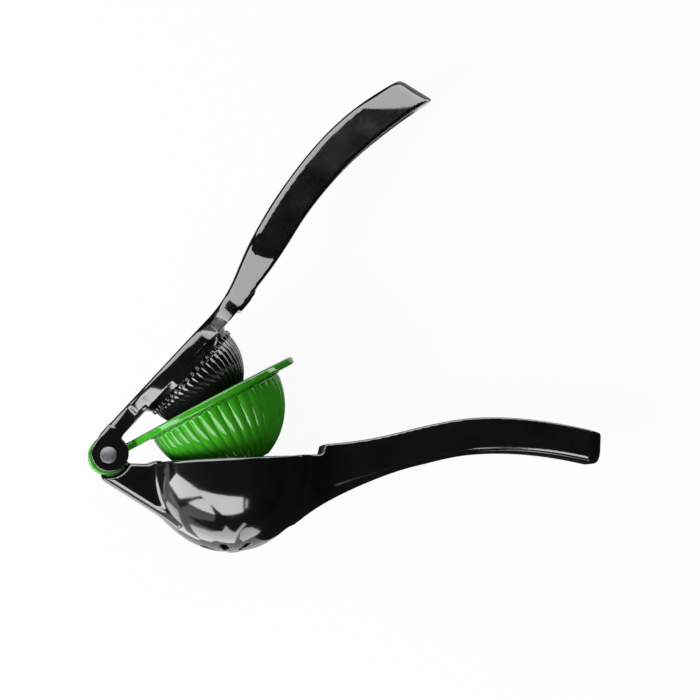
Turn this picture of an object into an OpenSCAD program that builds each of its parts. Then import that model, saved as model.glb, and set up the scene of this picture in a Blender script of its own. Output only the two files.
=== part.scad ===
// Hinged two-in-one citrus squeezer: a lower lever with a lemon bowl, a fluted
// middle cup for limes, an upper lever with a fluted press dome, and the rivet
// they all turn on.  Millimetres.  The origin is the tip of the bowl, where the
// juice leaves; +X runs to the handle ends, +Y along the hinge, +Z up.

/* [Hinge] */
// Hinge axis to the vertical axis of the bowl
bowl_reach = 53; // [50:0.5:56]
// Tip of the bowl up to the hinge axis
hinge_height = 45; // [44:0.5:47]
// Radius of the rivet shank
pin_r = 2.6; // [2:0.1:3]
// Radial running clearance between the rivet and the knuckles that turn on it
pin_clearance = 0.05; // [0.02:0.01:0.1]
// Radial interference of the rivet in the upper ears
pin_press = 0.02; // [0.01:0.005:0.03]
// Radius of the rivet heads
head_r = 3.7; // [3.4:0.1:4.6]
// Thickness of the rivet heads
head_t = 1.3; // [0.8:0.1:2]
// Side play between neighbouring knuckles
side_play = 0.2; // [0.15:0.05:0.4]
// Width of the lower lever's middle knuckle
lower_knuckle_w = 8.8; // [7:0.2:11]
// Radius of the lower lever's middle knuckle
lower_knuckle_r = 8.2; // [7.5:0.1:8.6]
// Width of each of the cup's two knuckles
cup_knuckle_w = 4.1; // [3:0.1:5]
// Radius of the cup's knuckles
cup_knuckle_r = 8.5; // [8.2:0.1:9.2]
// Thickness of each ear of the upper lever
ear_t = 3.6; // [3:0.1:5]
// Radius of the ears of the upper lever
ear_r = 8.1; // [7.4:0.1:8.6]
// How far the ears' rounding sits ahead of the rivet
ear_offset = 1; // [0:0.1:1.2]
// Gap left around each knuckle where another piece turns past it
swing_gap = 0.5; // [0.4:0.05:0.8]
// Radius of the round notches of the lower lever under the ears
notch_r = 9.9; // [9.7:0.1:10.3]

/* [Opening] */
// Cup raised from its seat on the bowl
cup_open = 25.3; // [20:0.1:35]
// Upper lever raised from its closed position
press_open = 44.5; // [43:0.5:60]

/* [Bowl] */
// Outer radius of the bowl
bowl_r = 35.4; // [35:0.1:36]
// Wall of the bowl
bowl_wall = 3; // [2.4:0.1:3.1]
// Rim of the bowl below the hinge axis
rim_drop = 4; // [3.8:0.1:4.6]
// Height of the small tip under the bowl
tip_h = 0.3; // [0.2:0.1:1]
// Radius of the small tip under the bowl
tip_r = 2.4; // [1.5:0.1:3]
// Number of drain slots in the bowl
slot_count = 8; // [4:1:12]
// Inner end of a drain slot, from the bowl axis
slot_in = 7; // [5.5:0.5:8]
// Outer end of a drain slot, from the bowl axis
slot_out = 15.5; // [12:0.5:20]
// Width of a drain slot
slot_w = 3; // [2:0.1:4]

/* [Cup] */
// Hinge axis to the centre of the cup
cup_reach = 52; // [51.8:0.1:53]
// Outer radius of the cup over its ribs
cup_r = 31; // [30.2:0.1:31.3]
// Depth of the cup under its flange
cup_depth = 29.3; // [25:0.1:31]
// Wall of the cup behind the ribs
cup_wall = 2; // [1.5:0.1:2.6]
// Number of ribs around the cup
cup_ribs = 40; // [30:1:50]
// Height of the ribs of the cup
cup_rib_h = 0.8; // [0.4:0.1:1.2]
// Radius of the round floor inside the ribs
cup_floor_r = 10; // [8:0.5:13]
// Outer radius of the flange
flange_r = 36.6; // [36:0.1:37.4]
// Radius of the lip at the far end of the flange
lip_r = 24; // [20:0.5:28]
// How far that lip stands out past the round of the flange
lip_out = 3.4; // [2:0.1:3.8]
// Underside of the flange below the hinge axis
flange_drop = 2.4; // [1.9:0.1:2.6]
// Thickness of the flange and of the tab to the hinge
flange_t = 3.4; // [3:0.1:3.8]
// Clearance between pieces that lie on each other when closed
seat_gap = 0.3; // [0.2:0.05:0.4]
// Height of the plain collar above the ribs
collar_h = 0.8; // [0.6:0.1:2]
// Number of drain holes in the floor of the cup
hole_count = 6; // [4:1:8]
// Radius of a drain hole in the cup
hole_r = 1.4; // [1:0.1:1.8]

/* [Press dome] */
// Hinge axis to the centre of the dome
dome_reach = 51.7; // [51.3:0.1:53]
// Outer radius of the dome over its ribs
dome_r = 23.5; // [22:0.1:24.4]
// Depth of the dome under its plate
dome_depth = 25.3; // [22:0.1:26]
// Wall of the dome behind the ribs
dome_wall = 2.6; // [2:0.1:3.2]
// Number of ribs around the dome
dome_ribs = 45; // [32:1:52]
// Height of the ribs of the dome
dome_rib_h = 0.7; // [0.4:0.1:1]
// Radius of the round plate that carries the dome
plate_r = 25; // [24.8:0.1:26.5]
// Thickness of the plate and of the arm to the ears
plate_t = 7.6; // [7.2:0.1:8.6]

/* [Handles] */
// Hinge axis to the end of the lower handle
lower_reach = 219.3; // [205:0.5:235]
// Hinge axis to the end of the upper handle
upper_reach = 213; // [200:0.5:228]
// Width of both handles
handle_w = 20; // [18:0.2:24]
// Depth of the upper handle from its open edge to its back
handle_depth = 16; // [14:0.2:18]
// Depth of the lower handle ahead of its root
lower_depth_mid = 16.6; // [15:0.1:18]
// Depth of the lower handle at its end
lower_depth_end = 14.5; // [13.5:0.1:17]
// Gap between the two handles when they are closed
handle_gap = 0.45; // [0.3:0.05:1]
// Where the line between the handles is highest, from the hinge
crest_reach = 164; // [155:1:175]
// Height of that crest over the hinge axis
crest_rise = 8.8; // [7:0.1:10]
// Extra slit left between the closed handles where they leave the bowl
slit = 2.3; // [0:0.1:3]
// Extra slit left between the closed handles towards their ends
slit_end = 0.7; // [0:0.1:1.5]
// Drop of the line between the handles at the lower handle's end
end_drop = 1; // [0:0.1:4]
// Depth of the lower handle where it grows out of the bowl
root_depth = 34; // [32:0.5:35]
// Where the deep root has thinned to a plain handle
root_end = 133; // [126:1:146]
// Wall on each side of the channels in the handles
channel_wall = 2.8; // [2:0.1:3.6]
// Web left at the back of the channels
channel_web = 3; // [2.4:0.1:4]
// Width of the neck behind the press dome
neck_w = 15; // [13:0.5:17]
// Rounding of the handles' backs
back_round = 4; // [3:0.2:5]
// Rounding of the handles' open edges
edge_round = 1.1; // [0.6:0.1:1.6]
// Rounding of the handle ends, seen from above
end_round = 7.5; // [5:0.5:8.5]

/* [Hidden] */
$fn = 72;
ENAMEL = [0.03, 0.03, 0.035];
GREEN = [0.22, 0.66, 0.13];
STEEL = [0.72, 0.72, 0.74];
BIG = 400;
STEP = 5;               // angle between points of an arc
eps = 0.01;

// Hinge stack, measured from the middle outwards
cup_knuckle_y = lower_knuckle_w / 2 + side_play;
ear_y = cup_knuckle_y + cup_knuckle_w + side_play;
hinge_half = ear_y + ear_t;
bore_r = pin_r + pin_clearance;
slot_r = cup_knuckle_r + swing_gap;      // slot between the ears

// Lip of the flange and the recess it comes to lie in
lip_reach = cup_reach + flange_r + lip_out;
lip_play = 1.4;

// Levels, measured from the hinge axis with everything closed
bowl_bottom = -(hinge_height - tip_h);
bowl_centre_z = bowl_bottom + bowl_r;
bowl_in = bowl_r - bowl_wall;
flange_low = -flange_drop;
flange_top = flange_low + flange_t;
plate_low = flange_top + seat_gap;
plate_top = plate_low + plate_t;
cup_low = flange_low - collar_h - cup_depth;
dome_straight = 4.7;      // height of the dome's upright band under its plate

// Lower arm between the bowl and the hinge
arm_slope = 35;         // its underside against the horizontal
arm_web = 2.7;          // its web straight under the hinge
arm_dip = 0.5;          // dip of its top edge behind the hinge
arm_end = -3.4;         // its tip, from the hinge
arm_half = hinge_half;
arm_round = 3;

// Lower handle
half_w = handle_w / 2;
root_x = bowl_reach + 27;
root_fillet = 18;
root_round = 12;        // extra rounding of its back at the bowl
recess_x = lip_reach + lip_play;
step_run = 1;
step_rise = 3.9;
taper_x = 140;          // from here its depth shrinks evenly to its end
channel_run = 20;       // length over which the channels reach their full depth
lower_channel = [recess_x + 16, lower_reach - 17];
corner_r = 5.5;         // rounding of its lower end corner
lower_lean = 1.4;       // its end face leans out by this much at the open edge

// Upper lever
ear_step_x = [18.5, 21.5];
ear_step = 1;           // sideways step from the ears to the arm
arm_fillet = 8;
neck_fillet = 4;
neck_end = 84;          // where the neck starts to open into the handle
flare_end = 110;
upper_channel = [96, upper_reach - 5];
upper_lean = 3.2;       // its end face leans out by this much at the open edge
keel_half = 6.5;        // half width of the pointed ends of its channel walls
keel_x = 86;            // their tip, from the hinge
keel_low = plate_low - 1.1;
plate_round = 1.6;
spine_corner_r = 2;

// ---------- curves ----------

// Cubic between two knots [x, value, slope]
function hermite(a, b, x) =
    let (h = b[0] - a[0], t = (x - a[0]) / h, u = 1 - t)
    a[1] * u * u * (1 + 2 * t) + b[1] * t * t * (1 + 2 * u)
    + h * (a[2] * t * u * u - b[2] * t * t * u);

// Smooth curve through a row of knots
function curve(knots, x, i = 0) =
    (x <= knots[i + 1][0] || i == len(knots) - 2)
        ? hermite(knots[i], knots[i + 1], x) : curve(knots, x, i + 1);

function ease(from, to, x) =
    let (t = min(1, max(0, (x - from) / (to - from)))) t * t * (3 - 2 * t);

// Open edge of the lower handle, over the hinge axis
PARTING = [[neck_end, 0, 0.03],
           [neck_end + 24, crest_rise * 0.12, 0.085],
           [neck_end + 44, crest_rise * 0.45, 0.2],
           [crest_reach, crest_rise, 0],
           [lower_reach, -end_drop, -0.33]];
function parting(x) = x < neck_end ? 0 : curve(PARTING, x);

// Slit between the closed handles, on top of their least gap
SLIT = [[neck_end, slit * 0.6, 0], [130, slit, 0], [162, slit_end, 0], [upper_reach, slit_end, 0]];
function slit_at(x) = x < neck_end ? slit * 0.6 : curve(SLIT, min(x, upper_reach));

// Back of the upper lever, from the press plate to the end of the handle
SPINE = [[72, plate_top, 0],
         [96, crest_rise + 4.2, 0.37],
         [118, crest_rise + 11.4, 0.235],
         [crest_reach + 4, crest_rise + handle_depth + 1.75, 0],
         [upper_reach, handle_depth + 3.9 - end_drop, -0.32]];

// Half width of a body that meets a circle of radius r round x = c with a fillet f
function flare_x(w, c, r, f, side) = c + side * sqrt(pow(r + f, 2) - pow(w + f, 2));
function flare_touch(w, c, r, f, side) = c + (flare_x(w, c, r, f, side) - c) * r / (r + f);
function flare(x, w, c, r, f, side) =
    w + f - sqrt(max(0, f * f - pow(x - flare_x(w, c, r, f, side), 2)));

// Inset that rounds the last stretch of a body ending at x = end
function end_inset(x, end, r) =
    x <= end - r ? 0 : r - sqrt(max(0, r * r - pow(x - end + r, 2)));

function ends(from, to, end, r) =
    concat([for (x = [from:4.5:to - 0.1]) x],
           [for (a = [0:15:90]) end - r + r * sin(a)]);

// ---------- skins ----------

function corner(y, z, r, from, k) =
    [for (i = [0:k]) let (a = from + 90 * i / k) [y + r * cos(a), z + r * sin(a)]];

// Rounded section across X: low edge, high edge, rounding of each, lean of the low edge
function section(x, w, low, high, r_low, r_high, lean = 0) =
    let (rl = min(r_low, w - 0.2), rh = min(r_high, w - 0.2))
    [for (p = concat(corner(w - rl, low + rl, rl, -90, 2),
                     corner(w - rh, high - rh, rh, 0, 5),
                     corner(rh - w, high - rh, rh, 90, 5),
                     corner(rl - w, low + rl, rl, 180, 2)))
        [x + lean * (high - p[1]) / (high - low), p[0], p[1]]];

// Closed skin over a row of equal rings
module skin(rings) {
    n = len(rings[0]);
    m = len(rings);
    polyhedron(
        points = [for (ring = rings) each ring],
        faces = concat(
            [[for (j = [0:n - 1]) j]],
            [for (i = [0:m - 2], j = [0:n - 1])
                let (a = i * n + j, b = i * n + (j + 1) % n) each [[a, a + n, b + n], [a, b + n, b]]],
            [[for (j = [n - 1:-1:0]) (m - 1) * n + j]]));
}

// Ribbed ring of radius r at height z; the grooves between the ribs are h deep
function ribbed(r, z, count, h) =
    [for (i = [0:4 * count - 1])
        let (q = r - h * (1 - abs(cos(45 * i)))) [q * cos(90 * i / count), q * sin(90 * i / count), z]];

// Ribbed half egg hanging from z = top: upright band, then an egg curve down to floor_r
module ribbed_egg(r, depth, top, band, floor_r, count, h) {
    b = depth - band;
    last = acos(floor_r / r);
    skin(concat(
        [for (i = [9:-1:0]) let (a = last * i / 9)
            ribbed(r * cos(a), top - band - b * pow(sin(a) / sin(last), 1.1), count,
                   h * min(1, cos(a) * 1.6))],
        [ribbed(r, top, count, h)]));
}

// Plain half egg of the same kind, for the inside
module plain_egg(r, depth, top, band) {
    b = depth - band;
    rotate_extrude()
        polygon(concat([[0, top], [r, top]],
                       [for (a = [0:9:90]) [r * cos(a), top - band - b * pow(sin(a), 1.1)]]));
}

module on_bowl_axis() translate([bowl_reach, 0, 0]) children();
module on_cup_axis() translate([cup_reach, 0, 0]) children();
module at_hinge() translate([-bowl_reach, 0, hinge_height]) children();
module swung(angle) at_hinge() rotate([0, -angle, 0]) children();
module along_hinge(from, to, r) translate([0, to, 0]) rotate([90, 0, 0]) cylinder(r = r, h = to - from);
module both_sides() {
    children();
    mirror([0, 1, 0]) children();
}
// Outline in X and Z, spread over a width of 2 w
module side_profile(w) rotate([90, 0, 0]) linear_extrude(2 * w, center = true) children();

// ---------- lower lever ----------

module bowl_outside() {
    on_bowl_axis() rotate_extrude()
        polygon(concat([[0, -rim_drop], [bowl_r - 0.8, -rim_drop], [bowl_r, -rim_drop - 0.8]],
                       [for (a = [0:STEP:80]) [bowl_r * cos(a), bowl_centre_z - bowl_r * sin(a)]],
                       [[tip_r, bowl_bottom], [tip_r * 0.7, bowl_bottom - tip_h],
                        [0, bowl_bottom - tip_h]]));
}

module bowl_inside() {
    on_bowl_axis() rotate_extrude()
        polygon(concat([[0, BIG / 10], [bowl_in, BIG / 10]],
                       [for (a = [0:STEP:90]) [bowl_in * cos(a), bowl_centre_z - bowl_in * sin(a)]]));
}

module drain_slots() {
    on_bowl_axis() for (i = [0:slot_count - 1])
        rotate([0, 0, (i + 0.5) * 360 / slot_count])
            translate([0, 0, bowl_bottom - 2]) linear_extrude(bowl_r / 2) {
                translate([slot_in + slot_w / 2, -slot_w / 2])
                    square([slot_out - slot_in - slot_w, slot_w]);
                for (r = [slot_in + slot_w / 2, slot_out - slot_w / 2]) translate([r, 0]) circle(slot_w / 2);
            }
}

// Underside of the arm: a straight slope that meets the round of the bowl
function arm_low(x) = -notch_r - arm_web - x * tan(arm_slope);
function arm_high(x) = -rim_drop - arm_dip * sin(180 * min(1, max(0, (x - 10) / 17)));

module lower_arm() {
    last = bowl_reach - bowl_r * 0.72;
    intersection() {
        skin([for (x = concat([arm_end], [for (i = [0:12]) arm_end + 1 + (last - arm_end - 1) * i / 12]))
            let (low = max(arm_low(x), bowl_bottom + 9), tip = x == arm_end ? 0.7 : 0)
            section(x, arm_half - tip / 2, low + tip, arm_high(x), 0.5, 0.6)]);
        rounded_arm();
    }
}

// Side rounding of the arm's back, as a slanted bar with round lower edges
module rounded_arm() {
    run = bowl_reach;
    translate([0, 0, arm_low(0)]) rotate([0, arm_slope, 0]) translate([-30, 0, 0]) rotate([90, 0, 90])
        linear_extrude(run + 60) {
            translate([-arm_half, arm_round]) square([2 * arm_half, BIG / 4]);
            translate([-arm_half + arm_round, 0]) square([2 * (arm_half - arm_round), arm_round + eps]);
            for (s = [-1, 1]) translate([s * (arm_half - arm_round), arm_round]) circle(arm_round);
        }
}

function lower_half_w(x) =
    let (touch = flare_touch(half_w, bowl_reach, bowl_r, root_fillet, 1),
         run = flare_x(half_w, bowl_reach, bowl_r, root_fillet, 1))
    (x > run ? half_w : flare(max(x, touch), half_w, bowl_reach, bowl_r, root_fillet, 1))
    - end_inset(x, lower_reach, end_round);
function root_t(x) = max(0, (root_end - x) / (root_end - root_x));
function lower_plain(x) = lower_depth_mid
    + (lower_depth_end - lower_depth_mid) * min(1, max(0, (x - taper_x) / (lower_reach - taper_x)));
function lower_depth(x) = lower_plain(x) + (root_depth - lower_depth_mid) * pow(root_t(x), 2);

// Built with its back up; the lever turns it over
module lower_handle_blank() {
    skin([for (x = ends(root_x - 6, lower_reach - end_round, lower_reach, end_round))
        let (low = -parting(x))
        section(x, lower_half_w(x), low + end_inset(x, lower_reach, 2) * 0.5,
                low + lower_depth(max(x, root_x)) - end_inset(x, lower_reach, corner_r),
                edge_round, back_round + root_round * pow(root_t(max(x, root_x)), 2),
                lower_lean * ease(lower_reach - 30, lower_reach, x))]);
}

module lower_channel_cut() {
    from = lower_channel[0];
    to = lower_channel[1];
    xs = [for (i = [0:20]) from + (to - from) * i / 20];
    side_profile(half_w - channel_wall)
        polygon(concat([for (x = xs) [x, parting(x) + BIG / 10]],
                       [for (i = [20:-1:0]) let (x = xs[i])
                           [x, parting(x) - (lower_depth(x) - channel_web)
                                * ease(from - channel_run * 0.3, from + channel_run * 0.7, x)
                                * ease(to + channel_run * 0.3, to - channel_run * 0.7, x)]]));
}

module lower_lever() {
    color(ENAMEL) at_hinge() difference() {
        union() {
            bowl_outside();
            lower_arm();
            mirror([0, 0, 1]) lower_handle_blank();
            along_hinge(-lower_knuckle_w / 2, lower_knuckle_w / 2, lower_knuckle_r);
            side_profile(lower_knuckle_w / 2)
                polygon([[0, -lower_knuckle_r + 1], [lower_knuckle_r - 1, -2.4],
                         [notch_r + 1, arm_high(10) - 0.3], [notch_r + 2, -notch_r],
                         [0, -notch_r - 1]]);
        }
        bowl_inside();
        drain_slots();
        lower_channel_cut();
        // Recess in which the cup's flange comes to lie
        side_profile(BIG / 8)
            polygon([[bowl_reach, -rim_drop], [recess_x, -rim_drop], [recess_x + step_run, -rim_drop + step_rise],
                     [recess_x + step_run, BIG / 10], [bowl_reach, BIG / 10]]);
        // Round notches in which the cup's knuckles and the upper ears turn
        both_sides() along_hinge(cup_knuckle_y - side_play, hinge_half + 2, notch_r);
        along_hinge(-hinge_half, hinge_half, bore_r);
    }
}

// ---------- middle cup ----------

// Outline of the flange, its lip and its tab, drawn in by inset
lip_x = lip_reach - lip_r;
lip_a = acos((flange_r - lip_r) / (lip_x - cup_reach));
tab_half = ear_y - side_play;
tab_x = 12;
tab_a = let (dx = cup_reach - tab_x, d = sqrt(dx * dx + tab_half * tab_half))
    180 - atan(tab_half / dx) - acos(flange_r / d);

function flange_loop(inset, z) =
    let (r = flange_r - inset, q = lip_r - inset,
         half = concat([for (i = [0:4]) [lip_x + q * cos(lip_a * i / 4), q * sin(lip_a * i / 4)]],
                       [for (i = [0:12]) let (a = lip_a + (tab_a - lip_a) * i / 12)
                           [cup_reach + r * cos(a), r * sin(a)]],
                       [[tab_x, tab_half - inset], [0, tab_half - inset]]))
    [for (p = concat(half, [for (i = [len(half) - 1:-1:1]) [half[i][0], -half[i][1]]])) [p[0], p[1], z]];

module flange_and_tab() {
    difference() {
        union() {
            skin([for (k = [[0, 0.9], [0.26, 0.26], [0.9, 0]]) flange_loop(k[1], flange_low + k[0])]);
            skin([for (k = [[0.9, 0], [0.26, 0.26], [0, 0.9]]) flange_loop(k[1], flange_top - k[0])]);
            translate([0, 0, flange_low + 0.9]) linear_extrude(flange_t - 1.8)
                polygon([for (p = flange_loop(0, 0)) [p[0], p[1]]]);
            on_cup_axis() translate([0, 0, flange_low - collar_h])
                cylinder(r = cup_r + 0.3, h = collar_h + flange_t / 2);
            both_sides() along_hinge(cup_knuckle_y, cup_knuckle_y + cup_knuckle_w, cup_knuckle_r);
        }
        along_hinge(-cup_knuckle_y, cup_knuckle_y, lower_knuckle_r + swing_gap);
        along_hinge(-hinge_half, hinge_half, bore_r);
    }
}

module middle_cup() {
    color(GREEN) swung(cup_open) difference() {
        union() {
            flange_and_tab();
            on_cup_axis() ribbed_egg(cup_r, cup_depth + collar_h / 2, flange_low - collar_h / 2,
                                     collar_h / 2, cup_floor_r, cup_ribs, cup_rib_h);
        }
        on_cup_axis() plain_egg(cup_r - cup_rib_h - cup_wall, cup_depth - cup_wall + flange_t,
                                flange_top + eps, flange_t + collar_h);
        on_cup_axis() for (i = [0:hole_count - 1])
            rotate([0, 0, i * 360 / hole_count]) translate([cup_floor_r * 0.6, 0, cup_low - cup_wall])
                cylinder(r = hole_r, h = 4 * cup_wall + collar_h + flange_t);
    }
}

// ---------- upper lever ----------

upper_arm_half = hinge_half + ear_step;
function upper_half_w(x) =
    let (arm_x = flare_x(upper_arm_half, dome_reach, plate_r, arm_fillet, -1),
         arm_t = flare_touch(upper_arm_half, dome_reach, plate_r, arm_fillet, -1),
         neck_t = flare_touch(neck_w / 2, dome_reach, plate_r, neck_fillet, 1),
         neck_x = flare_x(neck_w / 2, dome_reach, plate_r, neck_fillet, 1))
    x < arm_x ? hinge_half + ear_step * ease(ear_step_x[0], ear_step_x[1], x)
    : x < arm_t ? flare(x, upper_arm_half, dome_reach, plate_r, arm_fillet, -1)
    : x < neck_t ? sqrt(plate_r * plate_r - pow(x - dome_reach, 2))
    : x < neck_x ? flare(x, neck_w / 2, dome_reach, plate_r, neck_fillet, 1)
    : neck_w / 2 + (half_w - neck_w / 2) * ease(neck_end, flare_end, x) - end_inset(x, upper_reach, end_round);

function upper_low(x) = plate_low
    + (parting(x) + handle_gap + slit_at(x) - plate_low) * ease(neck_end - 8, neck_end + 16, x);
function upper_high(x) = x < SPINE[0][0] ? plate_top : curve(SPINE, x);

module upper_body() {
    arm_x = flare_x(upper_arm_half, dome_reach, plate_r, arm_fillet, -1);
    arm_t = flare_touch(upper_arm_half, dome_reach, plate_r, arm_fillet, -1);
    neck_t = flare_touch(neck_w / 2, dome_reach, plate_r, neck_fillet, 1);
    neck_x = flare_x(neck_w / 2, dome_reach, plate_r, neck_fillet, 1);
    from = acos((arm_t - dome_reach) / plate_r);
    to = acos((neck_t - dome_reach) / plate_r);
    xs = concat([ear_r * 0.5, 14, ear_step_x[0], (ear_step_x[0] + ear_step_x[1]) / 2, ear_step_x[1], arm_x],
                [for (i = [1:3]) arm_x + (arm_t - arm_x) * i / 4],
                [for (i = [0:11]) dome_reach + plate_r * cos(from + (to - from) * i / 11)],
                [neck_x], ends(neck_x + 2, upper_reach - end_round, upper_reach, end_round));
    skin([for (x = xs)
        section(x, upper_half_w(x), upper_low(x) + end_inset(x, upper_reach, 2) * 0.5,
                upper_high(x) - end_inset(x, upper_reach, spine_corner_r),
                edge_round * ease(neck_end, flare_end, x) + 0.6,
                plate_round + (back_round - plate_round) * ease(neck_end, flare_end, x),
                upper_lean * ease(upper_reach - 30, upper_reach, x))]);
}

// Straight lower edge of the channel walls, drawn out to a point beside the neck
module keel() {
    xs = [for (i = [0:9]) keel_x + (flare_end + 6 - keel_x) * i / 9];
    side_profile(keel_half)
        polygon(concat([for (x = xs) [x, x < recess_x ? keel_low + 0.05 * (x - keel_x) : parting(x) + handle_gap]],
                       [[flare_end + 6, upper_low(flare_end) + 4], [keel_x + 11, upper_low(keel_x + 11) + 1]]));
}

module upper_channel_cut() {
    from = upper_channel[0];
    to = upper_channel[1];
    xs = [for (i = [0:20]) from + (to - from) * i / 20];
    intersection() {
        side_profile(half_w)
            polygon(concat([for (x = xs) [x, upper_low(x) - handle_depth]],
                           [for (i = [20:-1:0]) let (x = xs[i])
                               [x, upper_low(x) + (upper_high(x) - upper_low(x) - channel_web)
                                    * ease(from - channel_run * 0.3, from + channel_run * 0.8, x)
                                    * ease(to + channel_run * 0.2, to - channel_run * 0.6, x)]]));
        translate([0, 0, -BIG / 8]) linear_extrude(BIG / 4)
            polygon(concat([for (x = xs) [x, upper_half_w(x) - channel_wall]],
                           [for (i = [20:-1:0]) let (x = xs[i]) [x, channel_wall - upper_half_w(x)]]));
    }
}

module upper_lever() {
    color(ENAMEL) swung(press_open) difference() {
        union() {
            upper_body();
            keel();
            both_sides() translate([ear_offset, 0, 0]) along_hinge(ear_y, hinge_half, ear_r);
            side_profile(hinge_half)
                polygon([[0, 0.2], [ear_r * 0.8, 0.2], [ear_r + 2, plate_low], [ear_r + 2, plate_top],
                         [ear_offset, min(plate_top, ear_r)]]);
            translate([dome_reach, 0, 0])
                ribbed_egg(dome_r, dome_depth + 1, plate_low + 1, dome_straight + 1, dome_r * 0.3,
                           dome_ribs, dome_rib_h);
        }
        // Hollow back of the press dome
        translate([dome_reach, 0, 0])
            plain_egg(dome_r - dome_rib_h - dome_wall, dome_depth - dome_wall + plate_t + 1,
                      plate_top + 1, plate_t + 1 + dome_straight);
        // Slot between the ears for the knuckles that turn there
        along_hinge(-ear_y, ear_y, slot_r);
        upper_channel_cut();
        along_hinge(-BIG / 10, BIG / 10, pin_r - pin_press);
    }
}

// ---------- rivet ----------

module hinge_pin() {
    color(STEEL) at_hinge() rotate([90, 0, 0]) {
        cylinder(r = pin_r, h = 2 * hinge_half, center = true);
        for (s = [-1, 1]) scale([1, 1, s]) translate([0, 0, hinge_half]) rotate_extrude()
            polygon([[0, 0], [head_r, 0], [head_r, head_t * 0.5], [head_r * 0.9, head_t * 0.8],
                     [head_r * 0.55, head_t * 0.96], [0, head_t]]);
    }
}

lower_lever();
middle_cup();
upper_lever();
hinge_pin();
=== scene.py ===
"""Hinged citrus squeezer: enamelled levers, fluted cup and dome, steel rivet."""
import logging
import math
from dataclasses import dataclass
from enum import Enum
from functools import cached_property
from typing import Callable, Sequence

import bpy
import numpy as np
from mathutils import Matrix, Vector


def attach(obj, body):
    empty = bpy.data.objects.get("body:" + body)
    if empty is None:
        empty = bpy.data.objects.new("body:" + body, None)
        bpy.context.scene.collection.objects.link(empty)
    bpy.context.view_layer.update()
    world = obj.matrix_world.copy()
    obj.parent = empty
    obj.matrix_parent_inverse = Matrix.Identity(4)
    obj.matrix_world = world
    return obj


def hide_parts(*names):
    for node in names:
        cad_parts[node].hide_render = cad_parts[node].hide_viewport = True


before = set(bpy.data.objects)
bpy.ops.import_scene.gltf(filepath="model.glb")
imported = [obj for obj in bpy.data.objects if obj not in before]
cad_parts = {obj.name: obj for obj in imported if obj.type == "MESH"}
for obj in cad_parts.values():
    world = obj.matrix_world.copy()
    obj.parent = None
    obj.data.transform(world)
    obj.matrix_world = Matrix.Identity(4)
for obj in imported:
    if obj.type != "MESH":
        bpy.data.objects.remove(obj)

log = logging.getLogger("squeezer")
MM = 0.001
EGG_POWER = 1.1        # of the sine down the curve of a rib
EGG_SQUARE = 1.818     # of the depth in a half egg, 2 / EGG_POWER
HINGE_AT = Vector((-53.0, 0.0, 45.0)) * MM
Array = np.ndarray
Field = Callable[[Array], Array]
Corners = Sequence[tuple[float, float]]
Material, Object = bpy.types.Material, bpy.types.Object
Tree, Socket = bpy.types.NodeTree, bpy.types.NodeSocket


# ---------- numbers shared by the pieces ----------

class Swing(Enum):
    """The three moving bodies, each with the angle it is raised by at rest."""

    LOWER = ("lower", 0.0)
    CUP = ("cup", 25.3)
    UPPER = ("upper", 44.5)

    @property
    def body(self) -> str:
        """Name of the body that the pieces ride on."""
        return self.value[0]

    def matrix(self) -> Matrix:
        """Turn from the closed lever, in millimetres about the hinge, to its place.

        Returns:
            The matrix that also turns millimetres into metres.
        """
        turn = Matrix.Rotation(-math.radians(self.value[1]), 4, "Y")
        return Matrix.Translation(HINGE_AT) @ turn @ Matrix.Scale(MM, 4)


@dataclass(frozen=True)
class Hinge:
    """Sizes of the hinge stack, in millimetres from the hinge axis."""

    pin_r: float = 2.6
    clearance: float = 0.05
    lower_half: float = 4.4
    cup_from: float = 4.6
    cup_to: float = 8.7
    ear_from: float = 8.9
    ear_to: float = 12.5
    lower_r: float = 8.2
    cup_r: float = 8.49
    ear_r: float = 8.1
    ear_ahead: float = 1.0
    gap: float = 0.5
    slot_r: float = 9.0
    notch_r: float = 9.9


@dataclass(frozen=True)
class Handles:
    """The line between the two closed handles and the handles' common sizes."""

    neck_end: float = 84.0
    crest_x: float = 164.0
    crest: float = 8.8
    lower_end: float = 219.3
    upper_end: float = 213.0
    half_w: float = 10.0
    depth: float = 16.0
    gap: float = 0.45
    slit: float = 2.3
    slit_end: float = 0.7
    drop: float = 1.0
    wall: float = 2.8
    web: float = 3.0
    back_round: float = 4.0
    edge_round: float = 1.1
    end_round: float = 7.5

    def parting(self, x: Array) -> Array:
        """Height of the lower handle's open edge at x."""
        knots = ((self.neck_end, 0.0, 0.03), (self.neck_end + 24, self.crest * 0.12, 0.085),
                 (self.neck_end + 44, self.crest * 0.45, 0.2), (self.crest_x, self.crest, 0.0),
                 (self.lower_end, -self.drop, -0.33))
        return curve(knots, x, 0.0)

    def slit_at(self, x: Array) -> Array:
        """Slit between the closed handles over their least gap at x."""
        knots = ((self.neck_end, self.slit * 0.6, 0.0), (130.0, self.slit, 0.0), (162.0, self.slit_end, 0.0),
                 (self.upper_end, self.slit_end, 0.0))
        return curve(knots, np.minimum(x, self.upper_end), self.slit * 0.6)

    def end_inset(self, x: Array, end: float, r: float) -> Array:
        """Inset that rounds the last stretch r of a handle ending at x = end."""
        t = np.clip(x - end + r, 0.0, r)
        return r - np.sqrt(r * r - t * t)


# ---------- curves and distances ----------

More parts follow.
